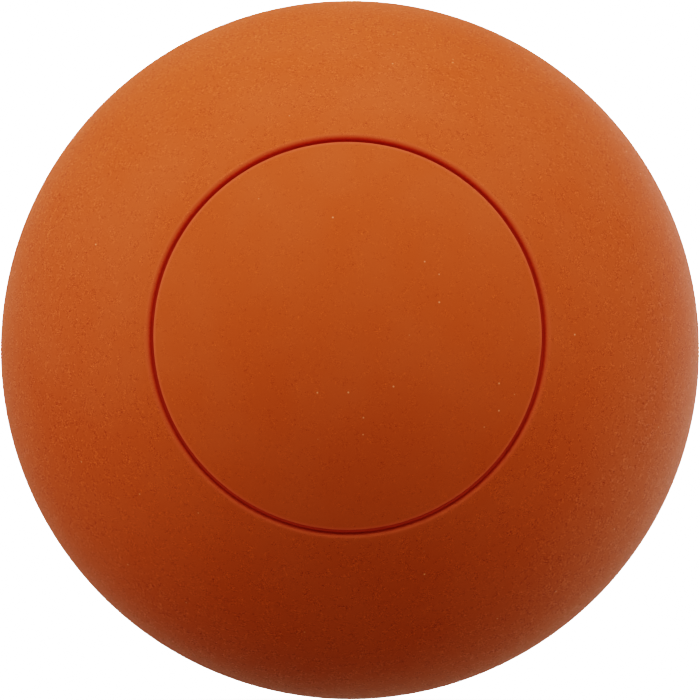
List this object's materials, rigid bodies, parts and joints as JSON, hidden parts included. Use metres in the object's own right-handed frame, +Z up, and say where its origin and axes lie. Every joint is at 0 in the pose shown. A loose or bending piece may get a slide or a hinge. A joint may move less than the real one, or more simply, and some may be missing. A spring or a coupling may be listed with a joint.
{
  "type": "lacrosse ball",
  "caption": "Solid rubber lacrosse ball: a moulded core inside bonded front and rear cover halves, with a recessed ring on the front.",
  "frame": {"origin": "the ball's centre", "axes": "+Z up; -Y is the face with the recessed ring, and every piece is round about the Y axis, along which the mould opens"},
  "size_m": [0.0634, 0.0636, 0.0634],
  "materials": {
    "cover_rubber": "matte",
    "core_rubber": "matte"
  },
  "bodies": {
    "root": {"core": "core_rubber", "front_cover": "cover_rubber", "rear_cover": "cover_rubber"}
  },
  "joints": []
}
